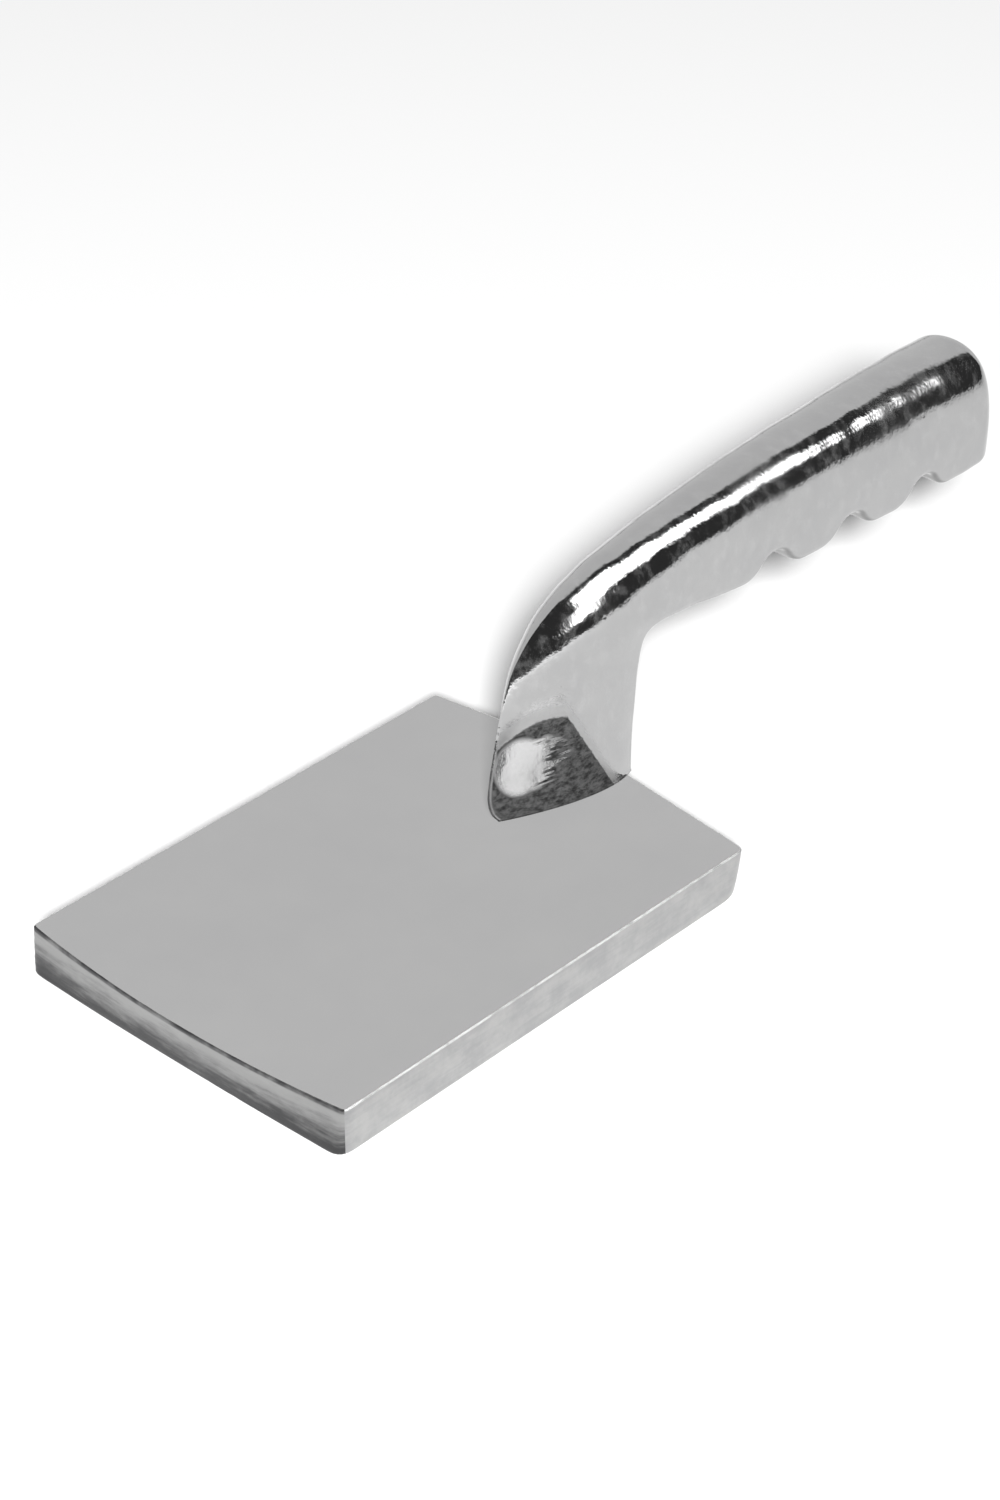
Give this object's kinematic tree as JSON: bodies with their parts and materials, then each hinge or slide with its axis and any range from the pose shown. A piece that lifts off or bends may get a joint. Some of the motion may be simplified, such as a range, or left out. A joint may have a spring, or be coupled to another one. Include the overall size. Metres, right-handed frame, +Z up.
{
  "type": "flat plate hand pounder",
  "caption": "Thick flat metal plate with a cranked, finger-grooved cast grip screwed on behind, for pounding and flattening by hand.",
  "frame": {"origin": "middle of the plate's flat underside", "axes": "+Z up out of the plate's top face, +Y from the plate towards the butt of the grip, +X to the holder's right"},
  "size_m": [0.0966, 0.2724, 0.0749],
  "materials": {
    "ground_plate": "satin, ground",
    "polished_casting": "hand polished",
    "screw_steel": "plain"
  },
  "bodies": {
    "root": {"working_plate": "ground_plate", "handle_casting": "polished_casting", "front_screw": "screw_steel", "rear_screw": "screw_steel"}
  },
  "joints": []
}
